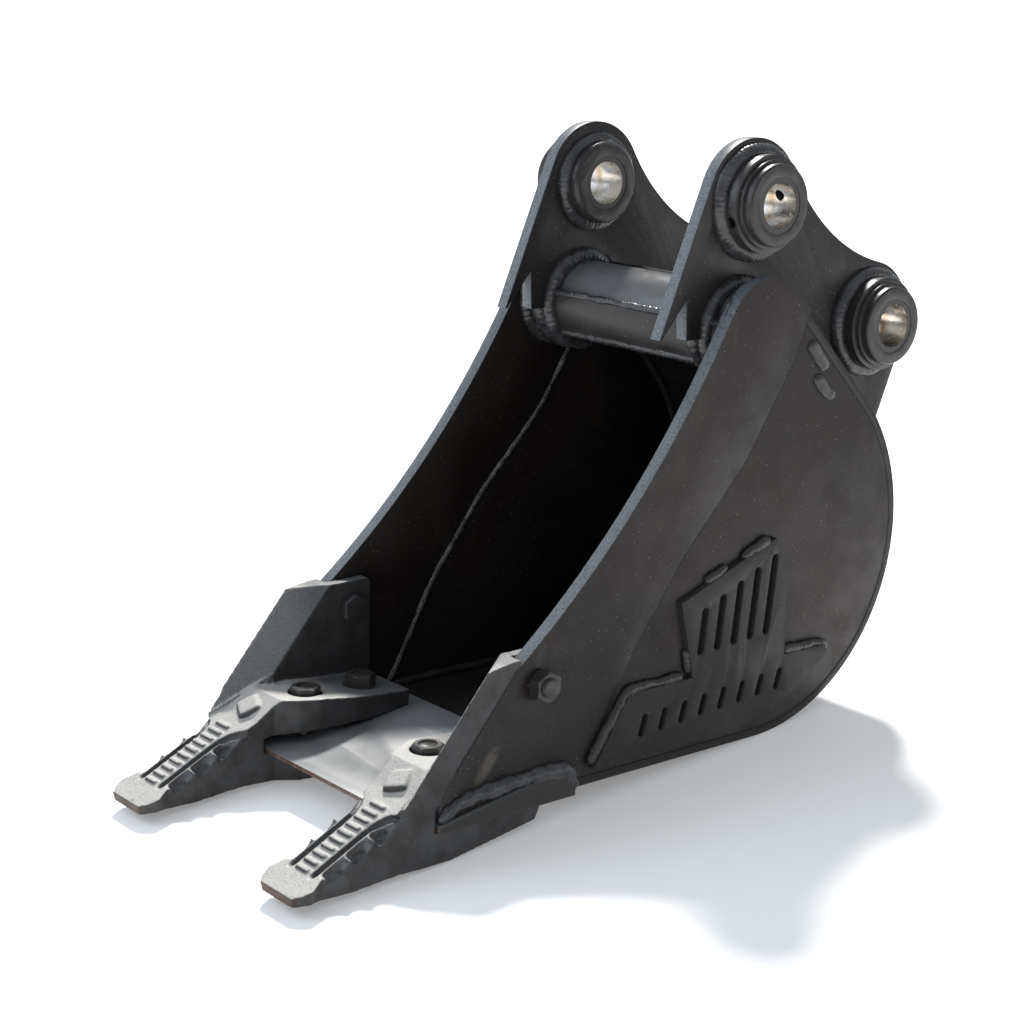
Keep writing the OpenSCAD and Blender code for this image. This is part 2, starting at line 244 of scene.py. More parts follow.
@dataclass(frozen=True)
class PaintFinish:
    """Satin chassis paint on rolled plate, with dust and lighter blue-grey flame-cut edges, whose colour is
    partly painted sky sheen.
    """

    name: str
    base: Colour
    drift: Colour
    roughness: Pair = (0.40, 0.55)
    dust: Colour = (0.16, 0.14, 0.12)
    dust_share: float = 0.22
    specks: bool = True
    cut_edges: bool = False
    cut_colour: Colour = (0.10, 0.115, 0.13)
    ends: Colour | None = None
    nose: Colour | None = None
    smear: Pair | None = None
    lean: float = -50.0
    specular: float = 0.5

    SMEAR_SCALE = (50.0, 150.0)
    SMEAR_COLOUR = (0.085, 0.075, 0.062)
    OUTER_FACE = (0.1445, 0.1455)

    def build(self) -> bpy.types.Material:
        """Makes the material."""
        box = Paintbox(self.name)
        cloud = box.between(box.noise(7.0, 4.0), 0.35, 0.68)
        colour = box.blend(cloud, self.base, self.drift)
        grime = box.between(box.noise(16.0, 6.0, (1.0, 1.0, 0.45), 0.65), 0.56, 0.86, 0.0, self.dust_share)
        colour = box.blend(grime, colour, self.dust)
        if self.specks:
            dots = box.between(box.noise(520.0, 1.0), 0.735, 0.77)
            colour = box.blend(dots, colour, tuple(min(1.0, 1.5 * c) for c in self.dust))
        rough = box.between(box.noise(30.0, 4.0), 0.3, 0.7, *self.roughness)
        relief = box.bump(box.noise(260.0, 3.0), 0.10, 0.0006)
        relief = box.bump(box.noise(1500.0, 2.0), 0.08, 0.0002, relief)
        # Edge faces, those not facing along X, get a lighter blue-grey: partly flame-cut steel, partly
        # painted sky sheen.
        if self.cut_edges:
            across = box.math("ABSOLUTE", box.facing.outputs["X"])
            edge = box.between(across, 0.35, 0.75, 1.0, 0.0)
            grain = box.between(box.noise(620.0, 5.0, rough=0.75), 0.36, 0.58, 0.30, 1.0)
            colour = box.blend(box.math("MULTIPLY", edge, grain), colour, self.cut_colour)
        if self.smear is not None:
            turned = box.add("ShaderNodeMapping", {"Vector": box.place,
                                                   "Rotation": (math.radians(self.lean), 0, 0)}).outputs[0]
            spot = box.add("ShaderNodeMapping", {"Vector": turned, "Location": self._centred(),
                                                 "Scale": (0.0, *self.SMEAR_SCALE)})
            near = box.between(box.vector("LENGTH", spot.outputs[0]).outputs["Value"], 0.45, 1.25, 1.0, 0.0)
            outer = box.between(box.math("ABSOLUTE", box.axis("X")), *self.OUTER_FACE)
            patchy = box.between(box.noise(110.0, 5.0, rough=0.7), 0.30, 0.55, 0.25, 0.85)
            near = box.math("MULTIPLY", box.math("MULTIPLY", near, outer), patchy)
            colour = box.blend(near, colour, self.SMEAR_COLOUR)
        if self.ends is not None:
            across = box.math("ABSOLUTE", box.facing.outputs["X"])
            colour = box.blend(box.between(across, 0.6, 0.9), colour, self.ends)
        if self.nose is not None:
            ahead = box.between(box.facing.outputs["Y"], -0.95, -0.6, 1.0, 0.0)
            chips = box.between(box.noise(160.0, 4.0), 0.25, 0.5, 0.4, 1.0)
            colour = box.blend(box.math("MULTIPLY", ahead, chips), colour, self.nose)
        return box.finish(colour, rough, relief, specular=self.specular)

    def _centred(self) -> Colour:
        """The shift that brings the smear's middle to the origin after the mapping's scale and turn."""
        y, z = self.smear
        middle = Matrix.Rotation(math.radians(self.lean), 3, "X") @ Vector((0.0, y, z))
        return 0.0, -middle.y * self.SMEAR_SCALE[0], -middle.z * self.SMEAR_SCALE[1]


@dataclass(frozen=True)
class CastFinish:
    """Sand-cast steel: grainy skin, dark pores, rust freckles, a bare tip rubbed down by use, and painted
    blue-grey sky sheen on the faces that look upwards.
    """

    name: str
    skin: Colour
    pore: Colour
    top: Colour
    rust: Colour
    shelf: Colour
    ridge: tuple[float, float, float, float]

    def build(self) -> bpy.types.Material:
        """Makes the material."""
        box = Paintbox(self.name)
        start, height, climb, brow = self.ridge
        grain = box.noise(1500.0, 5.0, rough=0.7)
        speckle = box.noise(620.0, 4.0, rough=0.75)
        blotch = box.noise(45.0, 5.0, rough=0.6)
        colour = box.blend(box.between(blotch, 0.32, 0.7), self.skin, self.pore)
        up = box.between(box.facing.outputs["Z"], 0.35, 0.75)
        # Faces that look upwards get a lighter blue-grey: painted sky sheen, broken up by speckle.
        sheen_speckle = box.between(speckle, 0.32, 0.60, 0.30, 1.0)
        level = box.between(box.facing.outputs["Z"], 0.10, 0.55)
        colour = box.blend(box.math("MULTIPLY", level, sheen_speckle), colour, self.shelf)
        along = box.math("SUBTRACT", box.math("MINIMUM", box.axis("Y"), brow), start)
        plane = box.math("ADD", box.math("MULTIPLY", along, climb), height)
        above = box.between(box.math("SUBTRACT", box.axis("Z"), plane), -0.0034, -0.0012)
        fade = box.between(box.axis("Y"), brow + 0.035, brow + 0.075, 1.0, 0.12)
        scuffed = box.between(speckle, 0.30, 0.52, 0.42, 1.0)
        share = box.math("MULTIPLY", box.math("MULTIPLY", up, above), box.math("MULTIPLY", fade, scuffed))
        colour = box.blend(share, colour, self.top)
        freckle = box.between(box.noise(75.0, 5.0, rough=0.7), 0.63, 0.73, 0.0, 0.75)
        colour = box.blend(freckle, colour, self.rust)
        front = box.between(box.axis("Y"), start - 0.012, start - 0.021)
        tip = box.math("MULTIPLY", front, box.between(box.facing.outputs["Y"], -0.9, -0.4, 0.85, 0.0))
        colour = box.blend(tip, colour, self.rust)
        pits = box.between(grain, 0.30, 0.44, 0.8, 0.0)
        colour = box.blend(pits, colour, tuple(0.35 * c for c in self.pore))
        rough = box.between(blotch, 0.3, 0.7, 0.40, 0.62)
        relief = box.bump(grain, 0.45, 0.0007)
        relief = box.bump(box.noise(380.0, 4.0), 0.4, 0.0010, relief)
        return box.finish(colour, rough, relief)


@dataclass(frozen=True)
class BareFinish:
    """Bare or oiled steel with turning marks and a gold tint where it has aged."""

    name: str
    steel: Colour
    tint: Colour
    roughness: Pair = (0.22, 0.42)
    metallic: float = 1.0
    marks: float = 0.10
    ends: Colour | None = None
    band: Pair | None = None

    def build(self) -> bpy.types.Material:
        """Makes the material."""
        box = Paintbox(self.name)
        aged = box.between(box.noise(38.0, 5.0), 0.42, 0.66)
        if self.band is not None:
            middle, half = self.band
            across = box.math("ABSOLUTE", box.axis("X"))
            off = box.math("ABSOLUTE", box.math("SUBTRACT", across, middle))
            ragged = box.math("ADD", off, box.math("MULTIPLY", box.noise(70.0, 4.0), 0.012))
            aged = box.between(ragged, half, half + 0.008, 0.9, 0.06)
        colour = box.blend(aged, self.steel, self.tint)
        rough = box.between(box.noise(90.0, 4.0), 0.3, 0.7, *self.roughness)
        turned = box.noise(900.0, 2.0, (1.0, 0.06, 0.06))
        relief = box.bump(turned, self.marks, 0.0002)
        relief = box.bump(box.noise(420.0, 5.0), 0.12, 0.0003, relief)
        metal = self.metallic
        if self.ends is not None:
            end = box.between(box.math("ABSOLUTE", box.facing.outputs["X"]), 0.5, 0.8)
            colour = box.blend(end, colour, self.ends)
            rough = box.math("MAXIMUM", rough, box.math("MULTIPLY", end, 0.45))
            metal = box.math("MULTIPLY", box.math("SUBTRACT", 1.0, end), self.metallic)
        return box.finish(colour, rough, relief, metallic=metal)


@dataclass(frozen=True)
class WeldFinish:
    """Painted weld metal, glossier than the plate, with fine ripples and spatter."""

    name: str
    base: Colour
    crest: Colour
    roughness: Pair = (0.28, 0.46)

    def build(self) -> bpy.types.Material:
        """Makes the material."""
        box = Paintbox(self.name)
        cloud = box.between(box.noise(80.0, 5.0, rough=0.65), 0.35, 0.68)
        colour = box.blend(cloud, self.base, self.crest)
        rough = box.between(box.noise(160.0, 3.0), 0.3, 0.7, *self.roughness)
        relief = box.bump(box.noise(240.0, 3.0), 0.20, 0.0006)
        relief = box.bump(box.noise(1300.0, 2.0), 0.12, 0.0002, relief)
        return box.finish(colour, rough, relief)


class Palette:
    """Every finish of the bucket, built once and looked up by name."""

    FINISHES = (
        PaintFinish("shell_paint_satin", (0.012, 0.0108, 0.0102), (0.018, 0.016, 0.015),
                    ends=(0.013, 0.0108, 0.0094), specular=0.35),
        # The light blue-grey cut colour of the side and ear finishes is partly painted sky sheen.
        PaintFinish("side_paint_satin", (0.0130, 0.0098, 0.0082), (0.0190, 0.0148, 0.0124),
                    cut_edges=True, cut_colour=(0.135, 0.152, 0.170), smear=(-0.315, -0.441), specular=0.32),
        PaintFinish("ear_paint_satin", (0.0135, 0.0118, 0.0118), (0.0200, 0.0174, 0.0174),
                    cut_edges=True, cut_colour=(0.165, 0.185, 0.205), specular=0.4),
        PaintFinish("boss_paint_satin", (0.019, 0.0178, 0.0185), (0.027, 0.0252, 0.0262), (0.30, 0.42),
                    dust_share=0.10, specular=0.42),
        PaintFinish("tube_paint_gloss", (0.085, 0.089, 0.095), (0.14, 0.145, 0.152), (0.20, 0.30),
                    dust_share=0.15),
        PaintFinish("saddle_paint_dusty", (0.022, 0.020, 0.019), (0.040, 0.037, 0.034),
                    dust_share=0.40),
        PaintFinish("lip_paint_satin", (0.15, 0.16, 0.17), (0.20, 0.205, 0.21), (0.36, 0.50),
                    dust=(0.24, 0.23, 0.22), ends=(0.018, 0.016, 0.014), nose=(0.10, 0.055, 0.032)),
        PaintFinish("wear_paint_satin", (0.0125, 0.0105, 0.0092), (0.0185, 0.0155, 0.0135),
                    dust_share=0.30, cut_edges=True, cut_colour=(0.045, 0.046, 0.048), specular=0.32),
        # The fifth colour is the painted blue-grey sky sheen on the casting's upward faces.
        CastFinish("tooth_casting_rough", (0.044, 0.044, 0.046), (0.021, 0.019, 0.018),
                   (0.40, 0.39, 0.37), (0.075, 0.040, 0.024), (0.085, 0.088, 0.094),
                   (-0.480, -0.5035, 0.489, -0.364)),
        BareFinish("bush_steel_bright", (0.50, 0.49, 0.475), (0.36, 0.245, 0.12), (0.20, 0.34),
                   ends=(0.021, 0.0195, 0.0200), band=(0.113, 0.004)),
        BareFinish("fastener_oxide", (0.050, 0.051, 0.053), (0.075, 0.069, 0.062), (0.26, 0.42), 0.45),
        WeldFinish("weld_painted", (0.026, 0.026, 0.028), (0.052, 0.053, 0.057), (0.22, 0.36)),
        WeldFinish("weld_plate", (0.015, 0.0135, 0.013), (0.028, 0.027, 0.0275), (0.26, 0.40)),
        WeldFinish("weld_shaded", (0.014, 0.013, 0.013), (0.024, 0.023, 0.023), (0.42, 0.6)),
        WeldFinish("weld_dusty", (0.055, 0.053, 0.050), (0.18, 0.175, 0.17), (0.45, 0.6)),
    )

    def __init__(self) -> None:
        """Builds every finish."""
        self.materials = {finish.name: finish.build() for finish in self.FINISHES}

    def __getitem__(self, name: str) -> bpy.types.Material:
        """The material of that name."""
        return self.materials[name]


# ------------------------------------------------------------------ the frame


@dataclass(frozen=True)
class Datum:
    """Faces and axes of the frame that every added piece is placed from."""

    floor_z: float
    side_out: float
    side_in: float
    rear_in: float
    ear_in: float
    ear_out: float
    dipper: Pair
    link: Pair
    tube: Pair
    tube_r: float

    @classmethod
    def read(cls) -> "Datum":
        """Reads the faces and axes from the nodes' boxes."""
        side_low, side_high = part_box("right_front_side_plate")
        ear_low, ear_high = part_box("right_ear")
        tube_low, tube_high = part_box("torque_tube")

        def centre(node: str) -> Pair:
            low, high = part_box(node)
            return (low.y + high.y) / 2, (low.z + high.z) / 2

        return cls(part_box("wrapper_shell")[0].z, side_high.x, side_low.x,
                   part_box("right_rear_side_plate")[0].x, ear_low.x, ear_high.x,
                   centre("right_dipper_bush"), centre("right_link_bush"), centre("torque_tube"),
                   (tube_high.z - tube_low.z) / 2)

    def at(self, x: float, y: float, z: float) -> Vector:
        """A point in the frame.

        Args:
            x: metres from the middle of the bucket.
            y: millimetres behind the dipper pin.
            z: millimetres above the underside of the floor plate.

        Returns:
            The point in metres.
        """
        return Vector((x, y * MM, z * MM + self.floor_z))


def flush(obj: bpy.types.Object, slot: str, *replaced: str) -> bpy.types.Object:
    """Hands a finished piece to the frame.

    Args:
        obj: the piece, in place.
        slot: name of a material slot, only written to the log.
        *replaced: CAD nodes that the piece stands for.

    Returns:
        The piece.
    """
    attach(obj, BODY)
    if replaced:
        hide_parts(*replaced)
    LOG.info("%s: %d faces, slot %s", obj.name, len(obj.data.polygons), slot)
    return obj


def new_object(name: str, mesh: bpy.types.Mesh) -> bpy.types.Object:
    """Links a mesh to the scene as an object at the origin."""
    obj = bpy.data.objects.new(name, mesh)
    bpy.context.scene.collection.objects.link(obj)
    return obj


def baked(obj: bpy.types.Object, name: str) -> bpy.types.Mesh:
    """Applies all modifiers to a new mesh and deletes the object that carried them.

    Args:
        obj: object with live modifiers.
        name: name of the new mesh.

    Returns:
        The plain mesh.
    """
    bpy.context.view_layer.update()
    depsgraph = bpy.context.evaluated_depsgraph_get()
    mesh = bpy.data.meshes.new_from_object(obj.evaluated_get(depsgraph), depsgraph=depsgraph)
    mesh.name = name
    old = obj.data
    bpy.data.objects.remove(obj)
    if old.users == 0:
        bpy.data.meshes.remove(old)
    return mesh


def mesh_of(name: str, build: Callable[[bmesh.types.BMesh], None]) -> bpy.types.Mesh:
    """Makes a mesh from a function that fills a bmesh, with its faces turned outwards."""
    bm = bmesh.new()
    build(bm)
    bmesh.ops.recalc_face_normals(bm, faces=bm.faces[:])
    mesh = bpy.data.meshes.new(name)
    bm.to_mesh(mesh)
    bm.free()
    return mesh


def joined(name: str, meshes: Sequence[bpy.types.Mesh], mirror: bool = False) -> bpy.types.Mesh:
    """Puts several closed meshes into one, and can mirror the whole across X.

    Args:
        name: name of the new mesh.
        meshes: meshes to put together; they are deleted.
        mirror: whether to mirror the result.

    Returns:
        The new mesh.
    """
    bm = bmesh.new()
    for mesh in meshes:
        bm.from_mesh(mesh)
    if mirror:
        bm.transform(Matrix.Scale(-1.0, 4, (1, 0, 0)))
        bmesh.ops.reverse_faces(bm, faces=bm.faces[:])
    bmesh.ops.recalc_face_normals(bm, faces=bm.faces[:])
    result = bpy.data.meshes.new(name)
    bm.to_mesh(result)
    bm.free()
    for mesh in meshes:
        if mesh.users == 0:
            bpy.data.meshes.remove(mesh)
    return result


def paint(mesh: bpy.types.Mesh, material: bpy.types.Material, smooth: bool = True) -> None:
    """Gives a mesh its only material and its shading.

    Args:
        mesh: the mesh.
        material: the finish.
        smooth: whether its faces are shaded smooth.
    """
    mesh.materials.clear()
    mesh.materials.append(material)
    for polygon in mesh.polygons:
        polygon.use_smooth = smooth


def round_edges(obj: bpy.types.Object, width: float, angle: float) -> None:
    """Rounds an object's sharp edges with a live modifier.

    Args:
        obj: the object.
        width: size of the rounded edge.
        angle: how far an edge bends, in degrees, before it counts as sharp.
    """
    bevel = obj.modifiers.new("edge", "BEVEL")
    bevel.width = width
    bevel.segments = 2
    bevel.limit_method = "ANGLE"
    bevel.angle_limit = math.radians(angle)
    bevel.harden_normals = True


class PieceTree:
    """A Geometry Nodes tree with named inputs, built once for all the pieces of its kind."""

    NAME = "piece"
    NUMBERS: tuple[tuple[str, float], ...] = ()
    OTHERS: tuple[tuple[str, str], ...] = (("Material", "Material"),)

    def __init__(self) -> None:
        """Builds the tree with its inputs and its output."""
        self.tree = bpy.data.node_groups.new(self.NAME, "GeometryNodeTree")
        face = self.tree.interface
        face.new_socket("Geometry", in_out="INPUT", socket_type="NodeSocketGeometry")
        for name, default in self.NUMBERS:
            face.new_socket(name, in_out="INPUT", socket_type="NodeSocketFloat").default_value = default
        for name, kind in self.OTHERS:
            face.new_socket(name, in_out="INPUT", socket_type=f"NodeSocket{kind}")
        face.new_socket("Geometry", in_out="OUTPUT", socket_type="NodeSocketGeometry")
        graph = Graph(self.tree)
        made = self._wire(graph, graph.add("NodeGroupInput").outputs)
        graph.add("NodeGroupOutput", {"Geometry": made})

    def _wire(self, g: Graph, put: bpy.types.NodeOutputs) -> bpy.types.NodeSocket:
        """Adds and links the nodes.

        Args:
            g: the graph on the tree.
            put: the tree's inputs.

        Returns:
            The socket that holds the finished geometry.
        """
        raise NotImplementedError

    def _close(self, g: Graph, made: object, material: object) -> bpy.types.NodeSocket:
        """Realizes the geometry and gives it its material.

        Args:
            g: the graph on the tree.
            made: the geometry's socket.
            material: the material's socket.

        Returns:
            The finished geometry's socket.
        """
        made = g.add("GeometryNodeRealizeInstances", {"Geometry": made}).outputs[0]
        return g.add("GeometryNodeSetMaterial", {"Geometry": made, "Material": material}).outputs[0]

    def run(self, seed: bpy.types.Mesh, values: dict[str, object]) -> bpy.types.Mesh:
        """Runs the tree on a mesh.

        Args:
            seed: the mesh that the tree starts from.
            values: inputs by name; the others keep their defaults.

        Returns:
            What the tree made, as a plain mesh.
        """
        carrier = new_object(f"{self.NAME}_carrier", seed)
        modifier = carrier.modifiers.new("made", "NODES")
        modifier.node_group = self.tree
        for item in self.tree.interface.items_tree:
            if item.item_type == "SOCKET" and item.in_out == "INPUT" and item.name in values:
                modifier[item.identifier] = values[item.name]
        return baked(carrier, self.NAME)


# ------------------------------------------------------------------ weld beads


class BeadTree(PieceTree):
    """Lays a rippled, lumpy bead of weld along a path."""

    NAME = "weld_bead"
    NUMBERS = (("Radius", 0.005), ("Pitch", 0.004), ("Ripple", 0.06), ("Waver", 0.15),
               ("Lump", 0.0006), ("Keep", 1.0), ("Blunt", 1.0))
    OTHERS = (("Axis", "Vector"), ("Face", "Vector"), ("Seed", "Int"), ("Material", "Material"))

    def _wire(self, g: Graph, put: bpy.types.NodeOutputs) -> bpy.types.NodeSocket:
        """Adds and links the nodes; see PieceTree."""
        curve = g.add("GeometryNodeMeshToCurve", {"Mesh": put["Geometry"]}).outputs[0]
        curve = g.add("GeometryNodeCurveSplineType", {"Curve": curve}, spline_type="CATMULL_ROM").outputs[0]
        step = g.math("DIVIDE", put["Pitch"], 5.0)
        curve = g.add("GeometryNodeResampleCurve", {"Curve": curve, "Length": step}, mode="LENGTH").outputs[0]
        along = g.add("GeometryNodeSplineParameter").outputs["Length"]
        turn = g.math("MULTIPLY", g.math("DIVIDE", along, put["Pitch"]), math.pi)
        crest = g.math("MULTIPLY", g.math("ABSOLUTE", g.math("SINE", turn)), put["Ripple"])
        seed = g.math("MULTIPLY", put["Seed"], 7.31)
        slow = g.add("ShaderNodeTexNoise", {"W": seed, "Scale": 40.0, "Detail": 1.0},
                     noise_dimensions="4D").outputs["Fac"]
        waver = g.math("MULTIPLY", g.math("SUBTRACT", slow, 0.5), g.math("MULTIPLY", put["Waver"], 4.0))
        scale = g.math("ADD", g.math("ADD", 1.0, crest), waver)
        whole = g.add("GeometryNodeSplineLength").outputs["Length"]
        left = g.math("MINIMUM", along, g.math("SUBTRACT", whole, along))
        inside = g.math("MINIMUM", g.math("DIVIDE", left, g.math("MULTIPLY", put["Radius"], 1.3)), 1.0)
        gap = g.math("SUBTRACT", 1.0, g.math("MAXIMUM", inside, 0.0))
        dome = g.math("SQRT", g.math("SUBTRACT", 1.02, g.math("MULTIPLY", gap, gap)))
        scale = g.math("MULTIPLY", scale, g.math("MAXIMUM", dome, put["Blunt"]))
        ring = g.add("GeometryNodeCurvePrimitiveCircle", {"Resolution": 16, "Radius": put["Radius"]})
        tube = g.add("GeometryNodeCurveToMesh", {"Curve": curve, "Profile Curve": ring.outputs[0],
                                                 "Scale": scale, "Fill Caps": True}).outputs[0]
        grain = g.add("ShaderNodeTexNoise", {"W": seed, "Scale": 105.0, "Detail": 2.0},
                      noise_dimensions="4D").outputs["Fac"]
        normal = g.add("GeometryNodeInputNormal").outputs[0]
        push = g.math("MULTIPLY", g.math("SUBTRACT", grain, 0.5), g.math("MULTIPLY", put["Lump"], 4.0))
        offset = g.add("ShaderNodeVectorMath", {0: normal, "Scale": push}, operation="SCALE").outputs[0]
        tube = g.add("GeometryNodeSetPosition", {"Geometry": tube, "Offset": offset}).outputs[0]
        here = g.add("GeometryNodeInputPosition").outputs[0]
        away = g.vector("DOT_PRODUCT", g.vector("SUBTRACT", here, put["Face"]).outputs[0],
                        put["Axis"]).outputs["Value"]
        back = g.math("MULTIPLY", away, g.math("SUBTRACT", put["Keep"], 1.0))
        shift = g.add("ShaderNodeVectorMath", {0: put["Axis"], "Scale": back}, operation="SCALE").outputs[0]
        tube = g.add("GeometryNodeSetPosition", {"Geometry": tube, "Offset": shift}).outputs[0]
        tube = g.add("GeometryNodeSetShadeSmooth", {"Geometry": tube}).outputs[0]
        return self._close(g, tube, put["Material"])


@dataclass(frozen=True)
class Bead:
    """One run of weld, or several alike, laid on one face."""

    paths: tuple[tuple[Vector, ...], ...]
    radius: float
    axis: Colour = (1.0, 0.0, 0.0)
    face: Colour = (0.0, 0.0, 0.0)
    keep: float = 1.0
    pitch: float = 0.0035
    ripple: float = 0.07
    waver: float = 0.20
    lump: float = 0.0005
    closed: bool = False
    seed: int = 1

    def lay(self, tree: BeadTree, material: bpy.types.Material, mirror: bool = False) -> bpy.types.Mesh:
        """Runs the tree along the paths.

        Args:
            tree: the shared tree.
            material: the bead's finish.
            mirror: whether the bead lies on the left side.

        Returns:
            The bead as a closed mesh.
        """
        bm = bmesh.new()
        for path in self.paths:
            verts = [bm.verts.new(p) for p in path]
            for a, b in zip(verts, verts[1:]):
                bm.edges.new((a, b))
            if self.closed:
                bm.edges.new((verts[-1], verts[0]))
        line = bpy.data.meshes.new("weld_line")
        bm.to_mesh(line)
        bm.free()
        values = {"Radius": self.radius, "Pitch": self.pitch, "Ripple": self.ripple,
                  "Waver": self.waver, "Lump": self.lump, "Keep": self.keep, "Axis": self.axis,
                  "Face": self.face, "Seed": self.seed, "Material": material,
                  "Blunt": 1.0 if self.closed else 0.0}
        return joined("weld", [tree.run(line, values)], mirror)


def ring_path(x: float, centre: Pair, radius: float, count: int = 48) -> tuple[Vector, ...]:
    """Points round a circle in a plane across the bucket.

    Args:
        x: the plane.
        centre: the circle's centre as (y, z) in the frame.
        radius: its radius.
        count: number of points.

    Returns:
        The points, from +Y towards +Z.
    """
    angles = [math.radians(360.0 * i / count) for i in range(count)]
    return tuple(Vector((x, centre[0] + radius * math.cos(a), centre[1] + radius * math.sin(a)))
                 for a in angles)


# ------------------------------------------------------------------ sub-assemblies


@dataclass
class FramePlates:
    """The CAD nodes whose shape is right: they get soft edges and their finish."""

    palette: Palette
    edge: float = 0.0009
    ring_edge: float = 0.0003

    NODES = {
        "wrapper_shell": "shell_paint_satin", "cutting_edge": "lip_paint_satin",
        "torque_tube": "tube_paint_gloss", "tube_saddle": "saddle_paint_dusty",
        "front_side_plate": "side_paint_satin", "rear_side_plate": "side_paint_satin",
        "ear": "ear_paint_satin", "dipper_boss": "boss_paint_satin", "link_boss": "boss_paint_satin",
        "dipper_bush": "bush_steel_bright", "link_bush": "bush_steel_bright",
        "side_bolt": "fastener_oxide", "side_nut": "fastener_oxide", "lip_bolts": "fastener_oxide",
        "lip_nuts": "fastener_oxide", "heel_wear_plate": "wear_paint_satin",
        "corner_tooth": "tooth_casting_rough",
    }

    def dress(self) -> None:
        """Gives every node its finish, and every node but the bushes a small edge radius."""
        for name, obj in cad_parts.items():
            plain = name.removeprefix("left_").removeprefix("right_")
            material = self.palette[self.NODES[plain]]
            paint(obj.data, material)
            if not plain.endswith("bush"):
                self._soften(obj, self.ring_edge if plain.endswith("boss") else self.edge)
            LOG.info("%s: %s", name, material.name)

    def _soften(self, obj: bpy.types.Object, width: float) -> None:
        """Welds the loose triangles, drops flat seams and rounds the sharp edges.

        Args:
            obj: the node's object.
            width: size of the rounded edge.
        """
        weld = obj.modifiers.new("weld", "WELD")
        weld.merge_threshold = 1e-6
        flat = obj.modifiers.new("flat", "DECIMATE")
        flat.decimate_type = "DISSOLVE"
        flat.angle_limit = math.radians(0.1)
        round_edges(obj, width, 30.0)


